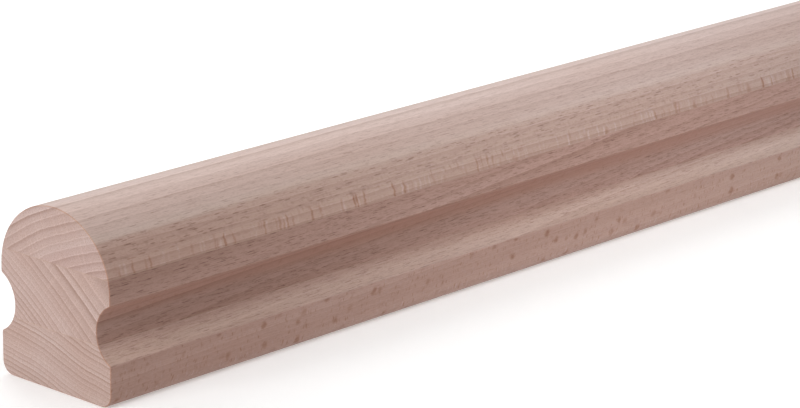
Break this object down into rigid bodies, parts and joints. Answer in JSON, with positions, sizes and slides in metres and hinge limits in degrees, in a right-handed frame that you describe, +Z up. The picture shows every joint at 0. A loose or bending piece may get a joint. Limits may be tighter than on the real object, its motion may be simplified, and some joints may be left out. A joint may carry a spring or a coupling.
{
  "type": "grab rail",
  "caption": "Straight timber grab rail with a domed grip, a finger cove along each side and a flat base, glued up from beech lamellae and moulded to one profile, with square-cut ends.",
  "frame": {"origin": "middle of the flat underside, on the rail's lengthwise and crosswise centre planes", "axes": "+X along the rail, +Y across it, +Z up from the flat underside towards the crown of the grip"},
  "size_m": [0.6, 0.055, 0.0655],
  "materials": {
    "bottom_beech": "planed and sanded, no coating",
    "middle_beech": "planed and sanded, no coating",
    "top_beech": "planed and sanded, no coating",
    "glue": "cured wood glue, trimmed flush"
  },
  "bodies": {
    "root": {"bottom_lamella": "bottom_beech", "lower_glue_line": "glue", "middle_lamella": "middle_beech", "upper_glue_line": "glue", "top_lamella": "top_beech"}
  },
  "joints": []
}
